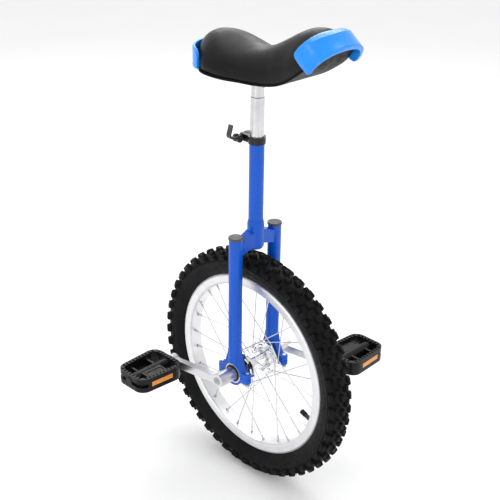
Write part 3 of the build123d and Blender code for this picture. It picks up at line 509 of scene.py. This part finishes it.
def tread_block(maker, length, width, height, placing):
    """One block: a cube with a smaller top, its top edges eased, placed by a matrix."""
    made = bmesh.ops.create_cube(maker, size=1.0)["verts"]
    bmesh.ops.scale(maker, verts=made, vec=Vector((length, width, height)) * MM)
    bmesh.ops.translate(maker, verts=made, vec=Vector((0, 0, height / 2)) * MM)
    top = [v for v in made if v.co.z > height / 2 * MM]
    bmesh.ops.scale(maker, verts=top, vec=top_shrink)
    upper = [e for e in {e for v in top for e in v.link_edges} if all(v in top for v in e.verts)]
    eased = bmesh.ops.bevel(maker, geom=upper, offset=top_edge * MM, offset_type="OFFSET", affect="EDGES",
                            segments=2, profile=0.5, material=-1)
    corners = {v for v in made if v.is_valid} | set(eased["verts"])
    bmesh.ops.transform(maker, verts=list(corners), matrix=placing)


def block_placing(offset, foot, lean, twist, angle):
    """Where a block stands: turned round the axle, moved out, leaned to the side and twisted."""
    # local x runs round the wheel, y across it and z outwards
    basis = Matrix(((-sin(angle), 0, cos(angle)), (0, 1, 0), (cos(angle), 0, sin(angle)))).to_4x4()
    return (Matrix.Translation(wheel_point(offset, foot, angle)) @ basis
            @ Matrix.Rotation(-radians(lean), 4, "X") @ Matrix.Rotation(radians(twist), 4, "Z"))


tyre_maker = bmesh.new()
turned_about_axle(tyre_maker, casing_section())
for pitch in range(tread_pitches):
    for offset, foot, length, width, lean, twist, setback in block_kinds:
        for side in (-1, 1):
            turn = 2 * pi * (pitch + setback + (0.5 if side > 0 else 0)) / tread_pitches
            tread_block(tyre_maker, length, width, knob_height + foot_depth,
                        block_placing(side * offset, foot, side * lean, side * twist, turn))
make_piece(tyre_maker, "tyre_tread", "wheel", "tyre_black", ("tyre",), crease=32)

# %% [markdown]
# ## The saddle's shape
# The saddle is a long pad that rises at both ends. It is easiest to describe by stations along its
# length: at each one, how wide it is, and how high its underside and its top are. A cube cut into
# many small squares is pulled onto those sections, with the corners of each one rounded over.

# %% Saddle stations
saddle_stations = [
    (-125, 14, 817, 849), (-118, 29, 814.5, 858), (-110, 39, 813, 864), (-92, 56, 811, 871.5),
    (-68, 70, 808.5, 873), (-38, 71.5, 806.5, 867), (-12, 67.5, 806, 861.5), (12, 60.5, 806, 860.5),
    (38, 54.5, 806, 866.5), (62, 50, 808, 879), (95, 50, 817, 898), (125, 53, 834, 911),
    (150, 53, 853, 913), (165, 47, 869, 908), (176, 35, 881, 901), (183, 18, 887, 895),
]
side_share = 0.3             # how much of the height the sides are upright for
dome_powers = (1.8, 1.5)     # how the dome falls away, across and down


def station(x):
    """Half width, underside and top at x, on smooth curves through the stations."""
    rows = saddle_stations
    k = max(i for i in range(len(rows) - 1) if rows[i][0] <= x or i == 0)
    before, here, after, beyond = (rows[max(0, min(len(rows) - 1, i))] for i in (k - 1, k, k + 1, k + 2))
    span = after[0] - here[0]
    t = max(0.0, min(1.0, (x - here[0]) / span))
    values = []
    for c in (1, 2, 3):
        start = (after[c] - before[c]) / (after[0] - before[0]) * span
        end = (beyond[c] - here[c]) / (beyond[0] - here[0]) * span
        values.append((2 * t**3 - 3 * t**2 + 1) * here[c] + (t**3 - 2 * t**2 + t) * start
                      + (3 * t**2 - 2 * t**3) * after[c] + (t**3 - t**2) * end)
    return values


print("saddle at its waist:", [round(v) for v in station(28)])

# %% [markdown]
# ## The bumpers
# Each bumper is a moulded band that wraps one end of the saddle. In plan it follows an ellipse. A spin
# gives a round band, and then every point is slid from the circle onto the ellipse. The front one
# stands on a plane that leans back with the nose, is thicker there and slopes back along its top, and
# both fade to a rounded end at the arms.

# %% Bumper shapes
lean = radians(52)
front_plane = Matrix(((cos(lean), 0, -sin(lean), 199 * MM), (0, 1, 0, 0),
                      (sin(lean), 0, cos(lean), 894 * MM), (0, 0, 0, 1)))
rear_plane = Matrix.Translation(Vector((0, 0, 812)) * MM)
# reach is how far round the arms go, in degrees, and anchor is the share of the height that they
# narrow towards
front_shape = dict(centre=-46.0, long=46.0, half=59.0, height=43.0, reach=106, wall=5.5, nose=7.0,
                   anchor=0.4)
rear_shape = dict(centre=-52.0, long=-78.0, half=75.0, height=35.0, reach=72, wall=5.5, nose=0.0,
                  anchor=0.1)
arm_end_angle = radians(13)  # the last part of an arm, over which it narrows
arm_end_share = 0.55         # its height at the very end, as a share of the whole


def bumper_wall(shape, angle):
    """The band's thickness, more at the nose."""
    return shape["wall"] + shape["nose"] * max(0.0, cos(angle)) ** 2


def band_section(shape, angle):
    """The band's section at an angle: how far in from the outside and how high, round the loop."""
    wall, height = bumper_wall(shape, angle), shape["height"]
    slope = 1.6 + (wall - 3.0) * max(0.0, cos(angle)) ** 1.5 if shape["nose"] else 1.8
    drop = 1.6 + 12.0 * max(0.0, cos(angle)) ** 1.5 if shape["nose"] else 1.8
    return [(1.2, 0), (0.2, 0.8), (0.0, 2.4), (0.5, 4.2), (0.3, height * 0.5), (0.2, height - drop - 0.8),
            (0.9, height - drop), (slope * 0.5, height - drop * 0.45), (slope, height - 0.7),
            (slope + 0.8, height), (wall - 0.8, height), (wall, height - 0.9),
            (wall, height * 0.5), (wall, 0.9), (wall - 0.9, 0)]


def bumper(name, shape, plane, steps=72):
    """Spin a loop of points part of the way round, then slide it onto the ellipse and its sections."""
    maker = bmesh.new()
    reach = radians(shape["reach"])
    count = len(band_section(shape, 0))
    unit = [maker.verts.new((cos(-reach), sin(-reach), k)) for k in range(count)]
    loop = [maker.edges.new(pair) for pair in zip(unit, unit[1:] + unit[:1])]
    first = maker.faces.new(unit)
    bmesh.ops.spin(maker, geom=unit + loop + [first], cent=(0, 0, 0), axis=(0, 0, 1), angle=2 * reach,
                   steps=steps, use_duplicate=False)
    for v in maker.verts:
        angle, k = atan2(v.co.y, v.co.x), int(round(v.co.z))
        inset, height = band_section(shape, angle)[k]
        # the arms' ends are rounded: the band narrows over its last few degrees
        left = max(0.0, (reach - abs(angle)) / arm_end_angle)
        narrow = arm_end_share + (1 - arm_end_share) * sqrt(max(0.0, 1 - (1 - min(1.0, left)) ** 2.2))
        anchor = shape["height"] * shape["anchor"]
        height = anchor + (height - anchor) * narrow
        sign = 1 if shape["long"] > 0 else -1
        v.co = plane @ (Vector((shape["centre"] + sign * (abs(shape["long"]) - inset) * cos(angle),
                                (shape["half"] - inset) * sin(angle), height)) * MM)
    ends = [f for f in maker.faces if len(f.verts) == count]
    rim_edges = list({e for f in ends for e in f.edges})
    bmesh.ops.bevel(maker, geom=rim_edges, offset=0.8 * MM, offset_type="OFFSET", affect="EDGES",
                    segments=2, profile=0.5, material=-1)
    return make_piece(maker, f"{name}_band", "saddle", "bumper_blue", (name,), crease=40)


bumper("front_bumper", front_shape, front_plane)
bumper("rear_bumper", rear_shape, rear_plane)

# %% [markdown]
# ## The padded saddle
# The cover is stretched over foam, so it swells between its edges. The mesh starts a little small, is
# remeshed into even squares, and is then blown up as light cloth with an even pressure. Its lower edge
# is pinned, as the cover is stapled under the base, and no point may move further than the cap.
# Last of all it is pushed back from the bumpers, which press into the foam.

# %% Cushion
cushion_start_gap = 1.5      # how much lower the pad's top starts, to leave room for the swelling
cube_cuts = 39
end_squeeze = 0.985          # under 1, so that the cube's end squares don't fold onto a line
equator = 0.2                # where on the cube the sides end and the dome begins
swelling_frames = 20
point_mass = 0.012           # kilograms for each point of the cover
tuck = 0.06                  # how far the lower edge turns in, as a share of the half width
bumper_gap = 1.0


def clear_of_band(point, shape, plane_back, margin, fade):
    """Push a point in from a bumper's inside wall, less and less above and below the band."""
    here = plane_back @ point / MM
    sign = 1 if shape["long"] > 0 else -1
    along = (here.x - shape["centre"]) * sign
    angle = atan2(here.y / shape["half"], along / abs(shape["long"]))
    if abs(angle) > radians(shape["reach"] - 1):
        return point
    inside = bumper_wall(shape, angle) + margin
    share = sqrt((along / (abs(shape["long"]) - inside)) ** 2 + (here.y / (shape["half"] - inside)) ** 2)
    outside_band = max(0.0, -here.z - 2, here.z - shape["height"] - 0.5)
    weight = max(0.0, 1 - outside_band / fade)
    if share <= 1 or weight == 0:
        return point
    centre = Vector((shape["centre"], 0, here.z))
    moved = centre + (here - centre) * (1 + (1 / share - 1) * weight)
    return plane_back.inverted() @ (moved * MM)


def clear_of_bumpers(point):
    point = clear_of_band(point, rear_shape, rear_plane.inverted(), bumper_gap, 7)
    return clear_of_band(point, front_shape, front_plane.inverted(), bumper_gap, 7)


def cushion_start():
    """A cube of small squares pulled onto the saddle's sections."""
    maker = bmesh.new()
    bmesh.ops.create_cube(maker, size=2.0)
    bmesh.ops.subdivide_edges(maker, edges=maker.edges, cuts=cube_cuts, use_grid_fill=True)
    x_low, x_high = saddle_stations[0][0], saddle_stations[-1][0]
    across_power, down_power = dome_powers
    for v in maker.verts:
        a, b, c = v.co
        along = sin(a * pi / 2 * end_squeeze) / sin(pi / 2 * end_squeeze)
        x = (x_low + x_high) / 2 + (x_high - x_low) / 2 * along
        half_width, under, top = station(x)
        low, top = under + 0.6, top - cushion_start_gap
        spring = low + side_share * (top - low)
        # the cube's upper half becomes the dome, its lower half the sides and the underside
        share = sin(b * pi / 2)
        dome = spring + (top - spring) * (1 - abs(share) ** across_power) ** (1 / down_power)
        if c > equator:
            z = spring + (dome - spring) * (c - equator) / (1 - equator)
        else:
            z = low + (spring - low) * (c + 1) / (1 + equator)
        edge = 1 - tuck * max(0.0, (spring - z) / (spring - low)) ** 3
        v.co = Vector((x, half_width * share * edge, z)) * MM
    for v in maker.verts:
        v.co = clear_of_bumpers(v.co)
    return maker


def inflate(piece, pressure=30.0, cap=5.0, voxel=4.0):
    """Swell the pad as pressurised cloth, pinned along its lower edge."""
    bpy.context.view_layer.objects.active = piece
    even = piece.modifiers.new("even", "REMESH")
    even.mode, even.voxel_size = "VOXEL", voxel * MM
    bpy.ops.object.modifier_apply(modifier=even.name)
    rest = [v.co.copy() for v in piece.data.vertices]
    held = piece.vertex_groups.new(name="held")
    for v in piece.data.vertices:
        under, top = station(v.co.x / MM)[1:]
        rise = (v.co.z / MM - under) / (top - under)
        # held fast up to a quarter of the height, and free from two thirds up
        held.add([v.index], max(0.0, min(1.0, 1.6 - 2.4 * rise)), "REPLACE")
    cloth = piece.modifiers.new("cloth", "CLOTH")
    settings = cloth.settings
    settings.use_pressure, settings.uniform_pressure_force = True, pressure
    settings.effector_weights.gravity = 0
    settings.vertex_group_mass, settings.pin_stiffness = "held", 2.0
    settings.quality, settings.mass = 6, point_mass
    cloth.collision_settings.use_self_collision = False
    for step in range(1, swelling_frames + 1):
        scene.frame_set(step)
    swollen = piece.evaluated_get(bpy.context.evaluated_depsgraph_get())
    places = [v.co.copy() for v in swollen.data.vertices]
    piece.modifiers.remove(cloth)
    scene.frame_set(1)
    furthest = 0.0
    for v, before, after in zip(piece.data.vertices, rest, places):
        move = after - before
        if move.length > cap * MM:
            move *= cap * MM / move.length
        furthest = max(furthest, move.length)
        v.co = clear_of_bumpers(before + move)
    piece.vertex_groups.remove(held)
    print(f"cushion swelled by up to {furthest / MM:.1f} mm over {len(rest)} points")


cushion = make_piece(cushion_start(), "cushion", "saddle", "saddle_black", ("saddle_cushion",), crease=180)
inflate(cushion)
smoothing = cushion.modifiers.new("smoothing", "SUBSURF")
smoothing.levels = smoothing.render_levels = 1

# %% [markdown]
# ## Eased edges on the CAD pieces
# CAD gives knife edges, and real pieces have none: a worn or moulded edge catches a thin line of light.
# The caps under the bearings are bent plates, so they show it best. A copy of each one's CAD mesh is
# merged, its flat faces joined up, and a Bevel modifier rounds every edge that turns sharply. The copy
# then stands for its node.

# %% Ease the edges
def eased(node, width, segments=2, turn=32):
    """A copy of a CAD node with its sharp edges rounded, standing for it."""
    source = frame["nodes"][node]
    maker = bmesh.new()
    maker.from_mesh(source.data)
    bmesh.ops.remove_doubles(maker, verts=maker.verts, dist=2e-6)
    bmesh.ops.dissolve_limit(maker, angle_limit=radians(0.4), verts=maker.verts, edges=maker.edges)
    mesh = bpy.data.meshes.new(f"{node}_eased")
    maker.to_mesh(mesh)
    maker.free()
    mesh.shade_smooth()
    mesh.set_sharp_from_angle(angle=radians(50))
    mesh.materials.clear()
    mesh.materials.append(finishes[slot_of[node]])
    piece = bpy.data.objects.new(f"{node}_eased", mesh)
    scene.collection.objects.link(piece)
    rounding = piece.modifiers.new("rounding", "BEVEL")
    rounding.width, rounding.segments = width * MM, segments
    rounding.limit_method, rounding.angle_limit = "ANGLE", radians(turn)
    rounding.use_clamp_overlap = False
    rounding.harden_normals = True
    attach(piece, source["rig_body"])
    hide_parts(node)
    return piece


eased_nodes = {"right_holder_cap": 0.8, "left_holder_cap": 0.8}
for node, width in eased_nodes.items():
    eased(node, width)
print(len(eased_nodes), "nodes with eased edges")
